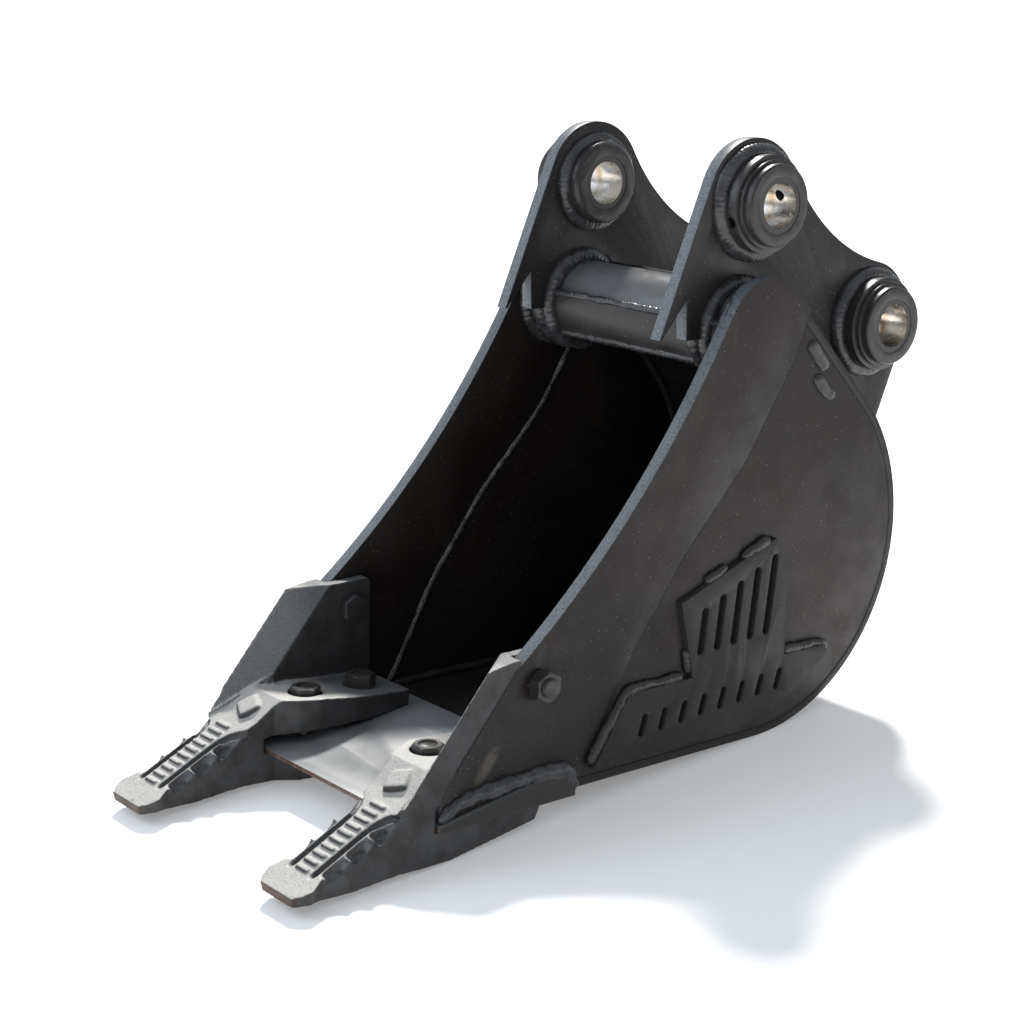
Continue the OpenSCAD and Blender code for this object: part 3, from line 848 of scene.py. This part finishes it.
@dataclass
class WeldShop:
    """All the weld beads, one piece for each place where they sit."""

    datum: Datum
    palette: Palette
    tree: BeadTree

    SEAM = ((-209.0, 15.0), (-201.0, 27.0), (-178.5, 69.0), (-156.0, 111.0), (-127.5, 149.5),
            (-99.0, 188.0), (-64.5, 225.0), (-30.0, 262.0), (-3.0, 304.0), (20.0, 340.0))
    LIP_FOOT = ((-364.0, 4.0), (-357.0, 9.5), (-344.0, 15.0), (-329.0, 18.5), (-307.0, 20.0),
                (-284.0, 21.5), (-258.0, 21.5), (-238.0, 20.0), (-227.0, 15.0), (-220.5, 5.0),
                (-219.0, -2.0))
    PLUGS = (((45.0, 363.0), (49.0, 355.0), (56.0, 347.0), (68.0, 335.5)),
             ((51.0, 328.0), (59.0, 324.5), (68.0, 316.0), (80.0, 308.0)))
    STRIP = (((-204.0, 19.0), (-195.0, 34.0), (-179.0, 56.0), (-165.0, 74.0), (-150.0, 77.5),
              (-122.0, 77.0), (-97.0, 78.0)),
             ((29.0, 78.0), (50.0, 77.5), (72.0, 77.0), (84.5, 75.0), (89.0, 67.5)))
    DABS = (((-75.0, 159.0), (-62.0, 164.0), (-48.0, 170.0)),
            ((-31.0, 175.0), (-14.0, 181.0), (4.0, 188.0)),
            ((-90.0, 79.0), (-93.0, 90.0), (-95.0, 102.0)))

    def _line(self, x: float, pairs: Iterable[Pair]) -> tuple[Vector, ...]:
        """A path in the plane at x, through (y, z) pairs in millimetres."""
        return tuple(self.datum.at(x, y, z) for y, z in pairs)

    def _piece(self, name: str, slot: str, beads: Iterable[Bead], finish: str,
               mirror: bool = False) -> bpy.types.Object:
        """Lays beads and makes them one piece.

        Args:
            name: the piece's name.
            slot: name of a material slot, only written to the log.
            beads: what to lay.
            finish: the finish's name.
            mirror: whether to mirror them to the left side.

        Returns:
            The piece.
        """
        material = self.palette[finish]
        mesh = joined(name, [bead.lay(self.tree, material, mirror) for bead in beads])
        paint(mesh, material)
        return flush(new_object(name, mesh), slot)

    def build(self) -> None:
        """Lays every bead on both sides, and those that run across."""
        runs = (("boss_collars", "boss_paint", self._collars, "weld_painted"),
                ("tube_welds", "ear_paint", self._tube_rings, "weld_painted"),
                ("seam_weld", "side_paint", self._seam, "weld_dusty"),
                ("corner_fillet", "shell_paint", self._corner, "weld_shaded"),
                ("lip_foot_weld", "side_paint", self._lip_foot, "weld_painted"),
                ("plug_welds", "side_paint", self._plugs, "weld_plate"),
                ("wear_plate_welds", "wear_paint", self._strip, "weld_plate"),
                ("ear_foot_welds", "ear_paint", self._ear_foot, "weld_painted"))
        for side in Side:
            for name, slot, beads, finish in runs:
                self._piece(f"{side.word}_{name}", slot, beads(side), finish, side is Side.LEFT)
        self._piece("saddle_welds", "tube_paint", self._saddle(), "weld_painted")
        self._piece("lip_floor_weld", "lip_steel", self._lip_floor(), "weld_shaded")

    def _collars(self, side: Side) -> list[Bead]:
        """Fillets round both bosses, outside and inside the ear."""
        d, seed = self.datum, 10 + side.value
        made = []
        for i, pin in enumerate((d.dipper, d.link)):
            made.append(Bead((ring_path(d.ear_out + 1.2 * MM, pin, 44.2 * MM),), 7.6 * MM,
                             face=(d.ear_out, 0, 0), pitch=4.2 * MM, ripple=0.035, waver=0.12,
                             lump=0.6 * MM, closed=True, seed=seed + 3 * i))
            made.append(Bead((ring_path(d.ear_in - 0.6 * MM, pin, 39.5 * MM),), 6.6 * MM,
                             face=(d.ear_in, 0, 0), pitch=4.2 * MM, ripple=0.035, waver=0.14,
                             lump=0.6 * MM, closed=True, seed=seed + 3 * i + 30))
        return made

    def _tube_rings(self, side: Side) -> list[Bead]:
        """Fillets where the cross tube passes the ear and meets the side plate."""
        d, seed = self.datum, 50 + side.value
        front = (d.tube[0] - 2.0 * MM, d.tube[1] + 0.8 * MM)
        reach = d.tube_r + 2.5 * MM
        return [Bead((ring_path(x, front, reach),), 7.2 * MM, face=(x, 0, 0), pitch=5.0 * MM, ripple=0.05,
                     waver=0.22, lump=0.9 * MM, closed=True, seed=seed + i)
                for i, x in enumerate((d.ear_in, d.ear_out, d.side_in))]

    def _seam(self, side: Side) -> list[Bead]:
        """Thin bead down the joint inside the side plates."""
        d = self.datum
        return [Bead((self._line(d.side_in + 1.6 * MM, self.SEAM),), 2.6 * MM, pitch=3.4 * MM,
                     ripple=0.30, waver=0.24, lump=0.7 * MM, seed=70 + side.value)]

    def _corner(self, side: Side) -> list[Bead]:
        """Fillet in the corner between side plate, floor and heel."""
        d = self.datum
        heel = [(167.0 * math.cos(math.radians(a)), 177.0 + 167.0 * math.sin(math.radians(a)))
                for a in range(-90, 46, 9)]
        path = [(-200.0, 10.5), (-100.0, 10.5), *heel, (75.0, 339.0), (38.0, 374.0)]
        return [Bead((self._line(d.rear_in - 0.6 * MM, path),), 4.0 * MM, pitch=4.0 * MM,
                     ripple=0.08, waver=0.16, seed=80 + side.value)]

    def _lip_foot(self, side: Side) -> list[Bead]:
        """Heavy lumpy fillet between the side plate and the end of the cutting edge."""
        d = self.datum
        return [Bead((self._line(d.side_out + 0.5 * MM, self.LIP_FOOT),), 6.8 * MM, face=(d.side_out, 0, 0),
                     keep=0.78, pitch=7.5 * MM, ripple=0.10, waver=0.34, lump=1.5 * MM, seed=90 + side.value)]

    def _plugs(self, side: Side) -> list[Bead]:
        """Two filled slots high on the side plate."""
        d = self.datum
        return [Bead((self._line(d.side_out, path),), 6.6 * MM, face=(d.side_out, 0, 0), keep=0.5,
                     pitch=9.0 * MM, ripple=0.05, waver=0.16, lump=1.3 * MM, seed=100 + side.value + 5 * i)
                for i, path in enumerate(self.PLUGS)]

    def _strip(self, side: Side) -> list[Bead]:
        """Fillets round the heel wear plate."""
        d = self.datum
        x = d.side_out + 2.0 * MM
        return [Bead((self._line(x, path),), 4.6 * MM, face=(d.side_out, 0, 0), keep=0.85, pitch=5.0 * MM,
                     ripple=0.07, waver=0.24, lump=0.8 * MM, seed=110 + side.value + 5 * i)
                for i, path in enumerate((*self.STRIP, *self.DABS))]

    def _ear_foot(self, side: Side) -> list[Bead]:
        """Fillets where the ear stands on the back of the shell."""
        d = self.datum
        heel = [(177.0 * math.cos(math.radians(a)), 177.0 + 177.0 * math.sin(math.radians(a)))
                for a in range(45, 17, -5)]
        path = [(16.0, 411.0), (70.0, 357.3), *heel]
        return [Bead((self._line(x, path),), 4.8 * MM, pitch=4.5 * MM, ripple=0.06, waver=0.16,
                     lump=0.6 * MM, seed=130 + side.value + 5 * i)
                for i, x in enumerate((d.ear_in - 1.2 * MM, d.ear_out + 1.2 * MM))]

    def _saddle(self) -> list[Bead]:
        """Beads along both edges of the saddle on the cross tube."""
        d = self.datum
        reach = d.tube_r + 3.4 * MM
        count = 12
        made = []
        for i, angle in enumerate((165.0, 222.0)):
            turn = math.radians(angle)
            y, z = d.tube[0] + reach * math.cos(turn), d.tube[1] + reach * math.sin(turn)
            path = tuple(Vector((d.side_in * (2 * k / count - 1), y, z)) for k in range(count + 1))
            made.append(Bead((path,), 3.0 * MM, pitch=4.0 * MM, ripple=0.10, waver=0.28, lump=0.8 * MM,
                             seed=150 + i))
        return made

    def _lip_floor(self) -> list[Bead]:
        """Bead between the cutting edge and the floor plate."""
        d = self.datum
        half = d.rear_in - 2.0 * MM
        path = tuple(d.at(half * (k / 6 - 1), -218.0, 10.5) for k in range(13))
        return [Bead((path,), 4.2 * MM, pitch=4.5 * MM, ripple=0.08, waver=0.2, seed=160)]


# ------------------------------------------------------------------ fasteners


class HexTree(PieceTree):
    """Makes a bored hexagon with chamfered corners, standing on Z = 0."""

    NAME = "hexagon"
    NUMBERS = (("Flats", 0.024), ("Height", 0.013), ("Bore", 0.008), ("Chamfer", 0.96))

    def _wire(self, g: Graph, put: bpy.types.NodeOutputs) -> bpy.types.NodeSocket:
        """Adds and links the nodes; see PieceTree."""
        flat_r = g.math("DIVIDE", put["Flats"], 2.0)
        corner_r = g.math("DIVIDE", flat_r, math.cos(math.radians(30)))
        prism = g.add("GeometryNodeMeshCylinder", {"Vertices": 6, "Radius": corner_r,
                                                   "Depth": put["Height"]}).outputs["Mesh"]
        near = g.math("MULTIPLY", flat_r, put["Chamfer"])
        far = g.math("ADD", near, g.math("MULTIPLY", put["Height"], math.tan(math.radians(62))))
        top = g.add("GeometryNodeMeshCone", {"Vertices": 48, "Radius Top": near, "Radius Bottom": far,
                                             "Depth": put["Height"]}).outputs["Mesh"]
        foot = g.add("GeometryNodeMeshCone", {"Vertices": 48, "Radius Top": far, "Radius Bottom": near,
                                              "Depth": put["Height"]}).outputs["Mesh"]
        half = g.add("ShaderNodeCombineXYZ", {"Z": g.math("DIVIDE", put["Height"], -2.0)}).outputs[0]
        cones = [g.add("GeometryNodeTransform", {"Geometry": cone, "Translation": half}).outputs[0]
                 for cone in (top, foot)]
        whole = g.add("GeometryNodeMeshBoolean", {"Mesh 2": prism}, operation="INTERSECT", solver="EXACT")
        for cone in cones:
            self.tree.links.new(cone, whole.inputs["Mesh 2"])
        bore = g.add("GeometryNodeMeshCylinder", {"Vertices": 48, "Radius": put["Bore"], "Depth": 1.0})
        bored = g.add("GeometryNodeMeshBoolean", {"Mesh 1": whole.outputs[0], "Mesh 2": bore.outputs["Mesh"]},
                      operation="DIFFERENCE", solver="EXACT").outputs[0]
        lift = g.add("ShaderNodeCombineXYZ", {"Z": g.math("DIVIDE", put["Height"], 2.0)}).outputs[0]
        nut = g.add("GeometryNodeTransform", {"Geometry": bored, "Translation": lift}).outputs[0]
        return self._close(g, nut, put["Material"])


class ThreadTree(PieceTree):
    """Makes the crest of a screw thread, standing on Z = 0."""

    NAME = "thread"
    NUMBERS = (("Radius", 0.008), ("Length", 0.004), ("Pitch", 0.002), ("Crest", 0.0006))

    def _wire(self, g: Graph, put: bpy.types.NodeOutputs) -> bpy.types.NodeSocket:
        """Adds and links the nodes; see PieceTree."""
        turns = g.math("DIVIDE", put["Length"], put["Pitch"])
        helix = g.add("GeometryNodeCurveSpiral", {"Resolution": 40, "Rotations": turns,
                                                  "Start Radius": put["Radius"], "End Radius": put["Radius"],
                                                  "Height": put["Length"]}).outputs[0]
        ridge = g.add("GeometryNodeCurvePrimitiveCircle", {"Resolution": 6, "Radius": put["Crest"]})
        crest = g.add("GeometryNodeCurveToMesh", {"Curve": helix, "Profile Curve": ridge.outputs[0],
                                                  "Fill Caps": True}).outputs[0]
        return self._close(g, crest, put["Material"])


@dataclass
class Fasteners:
    """The nuts of one corner tooth with chamfered corners, and the thread on the side bolt's end."""

    palette: Palette
    side: Side
    hexes: HexTree
    threads: ThreadTree
    bolt_r: float = 0.008
    chamfer: float = 0.985

    def build(self) -> None:
        """Makes the nuts in place of the plain ones, and the threads."""
        word = self.side.word
        low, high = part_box(f"{word}_side_nut")
        height = high.x - low.x
        middle = (low + high) / 2
        face = (low.x if self.side is Side.RIGHT else high.x)
        flats = high.y - low.y
        out = Matrix.Rotation(math.radians(90.0 * self.side.value), 4, "Y")
        seat = Matrix.Translation((face, middle.y, middle.z)) @ out
        self._piece(f"{word}_side_nut_chamfered", [(seat, flats, height)], f"{word}_side_nut")
        low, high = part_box(f"{word}_lip_nuts")
        middle = (low + high) / 2
        seats = [(Matrix.Translation((middle.x, low.y + flats / 2, low.z)), flats, height),
                 (Matrix.Translation((middle.x, high.y - flats / 2, high.z - height)), flats, height)]
        self._piece(f"{word}_lip_nuts_chamfered", seats, f"{word}_lip_nuts")
        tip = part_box(f"{word}_side_bolt")[1 if self.side is Side.RIGHT else 0].x
        length = abs(tip - face) - height - 0.0008
        start = Matrix.Translation((face + self.side.value * (height + 0.0002), seat.translation.y,
                                    seat.translation.z)) @ out
        mesh = self._run(self.threads, {"Radius": self.bolt_r - 0.0001, "Length": length}, start)
        self._finish(f"{word}_side_bolt_thread", [mesh])

    def _run(self, tree: PieceTree, values: dict[str, float], place: Matrix) -> bpy.types.Mesh:
        """Runs one tree and moves what it makes into place.

        Args:
            tree: the tree.
            values: sizes by input name.
            place: where the result goes.

        Returns:
            The plain mesh.
        """
        inputs = {**values, "Material": self.palette["fastener_oxide"]}
        mesh = tree.run(bpy.data.meshes.new("fastener_seed"), inputs)
        mesh.transform(place)
        return mesh

    def _piece(self, name: str, seats: Sequence[tuple[Matrix, float, float]], node: str) -> None:
        """Makes the nuts on their seats.

        Args:
            name: the piece's name.
            seats: place, width across flats and height of each nut.
            node: the CAD node that they stand for.
        """
        meshes = [self._run(self.hexes, {"Flats": flats, "Height": height, "Chamfer": self.chamfer,
                                         "Bore": self.bolt_r + 0.0001}, seat)
                  for seat, flats, height in seats]
        self._finish(name, meshes, node)

    def _finish(self, name: str, meshes: Sequence[bpy.types.Mesh], *nodes: str) -> None:
        """Joins the meshes to one piece with its finish and hands it to the frame.

        Args:
            name: the piece's name.
            meshes: the parts of the piece.
            *nodes: the CAD nodes that it stands for.
        """
        mesh = joined(name, meshes)
        paint(mesh, self.palette["fastener_oxide"], smooth=False)
        obj = new_object(name, mesh)
        if nodes:
            round_edges(obj, 0.4 * MM, 25.0)
        flush(obj, "fastener_steel", *nodes)


# ------------------------------------------------------------------ corner teeth


@dataclass
class CornerTooth:
    """Cast corner tooth: spade tip, ridged nose with scalloped flanks, pad, flared arms and wing.

    Places along the nose are (u, s, h) in millimetres: u outwards from the middle of the ridge, s along the
    ridge from the rear of the spade tip, and h above it.
    """

    datum: Datum
    palette: Palette
    side: Side
    voxel: float = 0.0012
    ridge_x: float = 116.0
    ridge_from: Pair = (-480.0, -20.5)
    ridge_to: Pair = (-387.0, 25.0)
    brow_to: Pair = (-362.0, 40.0)
    steps: tuple[float, ...] = (8.0, 33.0, 58.0)
    groove_path: tuple[tuple[float, float, float], ...] = (
        (14.8, 0.5, 3.0), (14.7, 5.5, -1.2), (14.7, 30.0, -1.4), (14.8, 55.0, -1.4), (15.6, 70.0, -1.4),
        (19.0, 79.0, -1.4), (25.0, 86.0, -1.6), (32.0, 90.5, -3.0), (40.0, 94.0, -6.0))
    bars: tuple[float, ...] = (5.0, 14.0, 23.0, 32.0, 41.0, 50.0, 59.0, 68.0, 77.0, 86.0)
    spade: tuple[Pair, ...] = ((-21.5, -501.2), (21.5, -501.2), (27.5, -496.0), (31.5, -487.0),
                               (24.0, -472.0), (-24.0, -472.0), (-31.5, -487.0), (-27.5, -496.0))
    spade_climb: Pair = (0.41, 0.489)
    spade_foot: float = -36.5

    # s, depth and half width of the flanks' sections
    CHEEKS = ((3.0, 12.0, 24.5), (30.0, 18.0, 28.0), (96.0, 24.0, 28.5))
    # u, height of the lips, depth of the scoops and their reach, from the ridge outwards
    SCOOPS = ((19.4, -1.0, -4.0, 76.0), (24.0, -1.2, -7.0, 82.0), (34.0, -3.0, -10.0, 90.0))
    GROOVE = ((-3.5, 5.5), (-3.2, -0.5), (-1.8, -3.4), (1.8, -3.4), (3.0, -0.5), (3.5, 5.5))
    POCKET = (5.2, 7.4, 4.2)
    PAD = (23.0, 22.0, 9.0)
    PAD_X = 110.5
    PAD_BACK = 8.5

    def build(self) -> bpy.types.Object:
        """Makes the piece that stands for the CAD casting.

        Returns:
            The finished tooth.
        """
        node = f"{self.side.word}_corner_tooth"
        bodies = [self._cut(mesh) for mesh in (self._blank(), self._spade(), self._cheek(-1), self._cheek(1))]
        work = new_object("tooth_work", joined("tooth_work", [*bodies, *self._additions()]))
        self._cast(work)
        mesh = joined(f"{node}_casting", [baked(work, "tooth")], self.side is Side.LEFT)
        paint(mesh, self.palette["tooth_casting_rough"])
        return flush(new_object(f"{node}_casting", mesh), "tooth_casting", node)

    def _blank(self) -> bpy.types.Mesh:
        """A merged copy of the right-hand CAD casting."""
        bm = bmesh.new()
        bm.from_mesh(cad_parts["right_corner_tooth"].data)
        bmesh.ops.remove_doubles(bm, verts=bm.verts[:], dist=1e-6)
        mesh = bpy.data.meshes.new("tooth_blank")
        bm.to_mesh(mesh)
        bm.free()
        return mesh

    def _nose(self, u: float, s: float, h: float) -> Vector:
        """A point given along the ridge, in the frame."""
        start, end = Vector(self.ridge_from), Vector(self.ridge_to)
        run = (end - start).normalized()
        y, z = start + run * s + Vector((-run.y, run.x)) * h
        return self.datum.at((self.ridge_x + u) * MM, y, z)

    def _loft(self, rings: Sequence[Sequence[Vector]]) -> bpy.types.Mesh:
        """A closed solid through rings of points.

        Args:
            rings: outlines with the same number of points each.

        Returns:
            The solid, capped at both ends.
        """
        def fill(bm: bmesh.types.BMesh) -> None:
            made = [[bm.verts.new(p) for p in ring] for ring in rings]
            count = len(made[0])
            for near, far in zip(made, made[1:]):
                for i in range(count):
                    j = (i + 1) % count
                    bm.faces.new((near[i], near[j], far[j], far[i]))
            bm.faces.new(made[0])
            bm.faces.new(made[-1][::-1])
        return mesh_of("tooth_loft", fill)

    def _spade(self) -> bpy.types.Mesh:
        """The tip, wider at its shoulders than the nose behind it."""
        rings = []
        for low in (True, False):
            ring = []
            for u, y in self.spade:
                ahead = y - self.ridge_from[0]
                top = self.ridge_from[1] + ahead * self.spade_climb[0 if ahead < 0 else 1]
                shrink = 0.9 if low else 1.0
                z = self.spade_foot if low else top
                ring.append(self.datum.at((self.ridge_x + shrink * u) * MM, y, z))
            rings.append(ring)
        return self._loft(rings)

    def _cheek(self, flip: int) -> bpy.types.Mesh:
        """Side of the nose that the scoops are cut from."""
        rings = []
        for s, depth, wide in self.CHEEKS:
            section = ((14.0, -0.5), (wide, -0.5), (wide + 1.0, -3.5), (wide - 3.0, -depth), (14.0, -depth))
            rings.append([self._nose(flip * u, s, h) for u, h in section])
        return self._loft(rings)

    def _sawtooth(self, u: float, lip: float, floor: float, reach: float) -> list[Vector]:
        """Outline of the three scoops at one distance from the ridge.

        Args:
            u: distance from the middle of the ridge, outwards.
            lip: height of the lips between the scoops.
            floor: how deep a scoop is just behind its lip.
            reach: how far back the last scoop runs.

        Returns:
            The points round what is taken off.
        """
        profile = [(self.steps[0] - 1.0, 9.0), (self.steps[0] - 1.0, lip)]
        for i, s in enumerate(self.steps):
            end = self.steps[i + 1] if i + 1 < len(self.steps) else reach
            profile += [(s, lip), (s + 1.8, lip + floor), (s + 0.45 * (end - s), lip + 0.8 * floor),
                        (end - 2.0, lip + 0.35 * floor)]
        profile += [(reach + 2.0, lip + 0.2 * floor), (reach + 5.0, 9.0)]
        return [self._nose(u, s, h) for s, h in profile]

    def _groove(self, flip: int) -> bpy.types.Mesh:
        """The narrow groove beside the ridge, which turns outwards behind the last scoop."""
        path = [self._nose(flip * u, s, h) for u, s, h in self.groove_path]
        up = (self._nose(0.0, 0.0, 1.0) - self._nose(0.0, 0.0, 0.0)).normalized()
        rings = []
        for i, point in enumerate(path):
            ahead = (path[min(i + 1, len(path) - 1)] - path[max(i - 1, 0)]).normalized()
            across = ahead.cross(up).normalized()
            rings.append([point + (across * a + up * b) * MM for a, b in self.GROOVE])
        return self._loft(rings)

    def _lump(self, centre: Vector, radii: Colour, slope: float) -> bpy.types.Mesh:
        """An ellipsoid, turned about X.

        Args:
            centre: its centre in the frame.
            radii: half sizes in millimetres across, along and above.
            slope: turn about X in radians.

        Returns:
            The closed ellipsoid.
        """
        def fill(bm: bmesh.types.BMesh) -> None:
            place = (Matrix.Translation(centre) @ Matrix.Rotation(slope, 4, "X")
                     @ Matrix.Diagonal((*[r * MM for r in radii], 1.0)))
            bmesh.ops.create_uvsphere(bm, u_segments=24, v_segments=14, radius=1.0, matrix=place)
        return mesh_of("tooth_lump", fill)

    def _slab(self, centre: Vector, size: Colour, slope: float, turn: float,
              corner: float) -> bpy.types.Mesh:
        """A block with rounded edges.

        Args:
            centre: its centre in the frame.
            size: width, length and height in millimetres.
            slope: turn about X in radians.
            turn: turn about its own upright in radians.
            corner: edge radius in millimetres.

        Returns:
            The closed block.
        """
        def fill(bm: bmesh.types.BMesh) -> None:
            bmesh.ops.create_cube(bm, size=1.0, matrix=Matrix.Diagonal((*[c * MM for c in size], 1.0)))
            bmesh.ops.bevel(bm, geom=bm.edges[:], offset=corner * MM, segments=3, affect="EDGES", profile=0.5)
            bm.transform(Matrix.Translation(centre) @ Matrix.Rotation(slope, 4, "X")
                         @ Matrix.Rotation(turn, 4, "Z"))
        return mesh_of("tooth_slab", fill)

    @property
    def _slope(self) -> float:
        """The ridge's climb in radians."""
        return math.atan2(self.ridge_to[1] - self.ridge_from[1], self.ridge_to[0] - self.ridge_from[0])

    def _cutters(self) -> list[bpy.types.Mesh]:
        """What is taken off the blank: scoops and pockets along both flanks, and a groove on each side."""
        made = []
        for flip in (-1, 1):
            made.append(self._loft([self._sawtooth(flip * u, *sizes) for u, *sizes in self.SCOOPS]))
            made.append(self._groove(flip))
            made += [self._lump(self._nose(flip * 25.0, s + 8.0, -6.6), self.POCKET, self._slope + 0.22)
                     for s in self.steps]
        return made

    def _additions(self) -> list[bpy.types.Mesh]:
        """What is cast on: raised bars along the ridge, the pad, and the cove under the wing."""
        made = [self._slab(self._nose(0.0, s, 0.8), (16.0 + 0.04 * s, 4.2, 4.0), self._slope, 0.0, 1.2)
                for s in self.bars]
        brow = math.atan2(self.brow_to[1] - self.ridge_to[1], self.brow_to[0] - self.ridge_to[0])
        y = self.ridge_to[0] + self.PAD_BACK
        z = self.ridge_to[1] + self.PAD_BACK * math.tan(brow) + 1.2
        made.append(self._slab(self.datum.at(self.PAD_X * MM, y, z), self.PAD, brow, 0.5, 3.6))
        made.append(self._cove())
        return made

    def _cove(self) -> bpy.types.Mesh:
        """A hollow fillet where the wing stands on the upper arm."""
        corner_a = self.datum.at(143.0 * MM, -402.0, 16.5)
        corner_b = self.datum.at(121.8 * MM, -345.0, 38.0)
        steps = [math.radians(a) for a in range(0, 91, 18)]
        rings = []
        for corner, reach in ((corner_a, 7.0), (corner_b, 15.0)):
            points = [corner + Vector((2.0, 3.0, -3.0)) * MM]
            points += [corner + Vector((-reach * (1 - math.sin(a)), -0.4 * reach * (1 - math.sin(a)),
                                        reach * (1 - math.cos(a)))) * MM for a in steps]
            rings.append(points)
        return self._loft(rings)

    def _cut(self, blank: bpy.types.Mesh) -> bpy.types.Mesh:
        """Takes the cutters off the blank.

        Args:
            blank: the merged casting.

        Returns:
            The cut casting.
        """
        work = new_object("tooth_blank", blank)
        knives = []
        for i, mesh in enumerate(self._cutters()):
            knife = new_object(f"tooth_knife_{i}", mesh)
            knives.append(knife)
            cut = work.modifiers.new(f"cut_{i}", "BOOLEAN")
            cut.operation = "DIFFERENCE"
            cut.solver = "EXACT"
            cut.object = knife
        mesh = baked(work, "tooth_cut")
        for knife in knives:
            data = knife.data
            bpy.data.objects.remove(knife)
            bpy.data.meshes.remove(data)
        return mesh

    def _cast(self, work: bpy.types.Object) -> None:
        """Melts everything into one skin with soft casting edges.

        Args:
            work: the object that gets the modifiers.
        """
        melt = work.modifiers.new("melt", "REMESH")
        melt.mode = "VOXEL"
        melt.voxel_size = self.voxel
        melt.use_smooth_shade = True
        soft = work.modifiers.new("soft", "SMOOTH")
        soft.factor = 0.5
        soft.iterations = 3
        thin = work.modifiers.new("thin", "DECIMATE")
        thin.ratio = 0.5


# ------------------------------------------------------------------ studio


@dataclass
class Studio:
    """Pale floor, soft light and the camera."""

    datum: Datum
    tilt: float = 5.3
    floor_size: float = 60.0
    glow: float = 0.22
    eye: Colour = (1.3929, -1.35165, 0.1798)
    right: Colour = (0.6400, 0.7678, 0.0292)
    up: Colour = (-0.2050, 0.1342, 0.9694)
    lens: float = 74.16
    sky_strength: float = 0.55
    sun_strength: float = 5.0
    sun_angle: float = 7.0
    sun_from: Colour = (-0.62, 0.50, 1.0)
    panel_power: float = 20.0
    panel_at: Colour = (-1.2, -1.8, 1.1)
    panel_aim: Colour = (0.0, -0.1, -0.2)

    def build(self) -> None:
        """Makes everything in the studio."""
        self.camera()
        self.floor()
        self.lights()

    def camera(self) -> None:
        """A level-headed view from the front right, a little above the bucket."""
        data = bpy.data.cameras.new("camera")
        data.lens = self.lens
        data.sensor_width = 36.0
        data.clip_start, data.clip_end = 0.05, 100.0
        camera = bpy.data.objects.new("camera", data)
        bpy.context.scene.collection.objects.link(camera)
        right = Vector(self.right).normalized()
        up = (Vector(self.up) - right * right.dot(Vector(self.up))).normalized()
        back = right.cross(up)
        turn = Matrix((right, up, back)).transposed().to_4x4()
        camera.matrix_world = Matrix.Translation(self.eye) @ turn
        bpy.context.scene.camera = camera

    def floor(self) -> None:
        """A large pale plane that touches the heel and the corner teeth, as the ground would. It glows
        faintly, which pales the shadows cast on it and lights the bucket a little from below.
        """
        tilt = math.radians(self.tilt)
        normal = Vector((0.0, -math.sin(tilt), math.cos(tilt)))
        lowest = min(normal.dot(v.co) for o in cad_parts.values() for v in o.data.vertices)
        along = Vector((0.0, math.cos(tilt), math.sin(tilt)))
        across = Vector((1.0, 0.0, 0.0))
        half = self.floor_size / 2
        corners = [normal * lowest + across * half * a + along * half * b
                   for a, b in ((-1, -1), (1, -1), (1, 1), (-1, 1))]
        mesh = bpy.data.meshes.new("floor")
        mesh.from_pydata([tuple(c) for c in corners], [], [(0, 1, 2, 3)])
        box = Paintbox("floor_pale")
        shade = box.blend(box.between(box.noise(0.6, 2.0), 0.3, 0.7), (0.84, 0.84, 0.84), (0.86, 0.86, 0.86))
        pale = box.finish(shade, 0.9, box.bump(box.noise(300.0), 0.02, 0.0001))
        # Painted light: the floor glows faintly to lift the shadows cast on it.
        shader = next(n for n in pale.node_tree.nodes if n.type == "BSDF_PRINCIPLED")
        shader.inputs["Emission Color"].default_value = (1.0, 1.0, 1.0, 1.0)
        shader.inputs["Emission Strength"].default_value = self.glow
        mesh.materials.append(pale)
        new_object("floor", mesh)

    def lights(self) -> None:
        """High key light from behind the left shoulder, and an even pale sky."""
        world = bpy.data.worlds.new("sky")
        world.use_nodes = True
        sky = world.node_tree.nodes["Background"]
        sky.inputs["Color"].default_value = (0.86, 0.93, 1.0, 1.0)
        sky.inputs["Strength"].default_value = self.sky_strength
        bpy.context.scene.world = world
        sun = bpy.data.lights.new("key", "SUN")
        sun.energy = self.sun_strength
        sun.angle = math.radians(self.sun_angle)
        sun.color = (1.0, 0.97, 0.93)
        lamp = bpy.data.objects.new("key", sun)
        bpy.context.scene.collection.objects.link(lamp)
        lamp.rotation_euler = Vector(self.sun_from).to_track_quat("Z", "Y").to_euler()
        panel = bpy.data.lights.new("panel", "AREA")
        panel.energy = self.panel_power
        panel.size = 1.6
        panel.color = (0.80, 0.90, 1.0)
        soft = bpy.data.objects.new("panel", panel)
        bpy.context.scene.collection.objects.link(soft)
        soft.location = self.panel_at
        aim = Vector(self.panel_at) - Vector(self.panel_aim)
        soft.rotation_euler = aim.to_track_quat("Z", "Y").to_euler()


# ------------------------------------------------------------------ main


def main() -> None:
    """Builds the looks in order, and reports each piece."""
    logging.basicConfig(level=logging.INFO, format="%(name)s: %(message)s")
    bpy.context.scene.view_settings.view_transform = "Standard"
    palette = Palette()
    datum = Datum.read()
    Studio(datum).build()
    FramePlates(palette).dress()
    hexes, threads = HexTree(), ThreadTree()
    for side in Side:
        CornerTooth(datum, palette, side).build()
        Fasteners(palette, side, hexes, threads).build()
    WeldShop(datum, palette, BeadTree()).build()


if __name__ == "__main__":
    main()
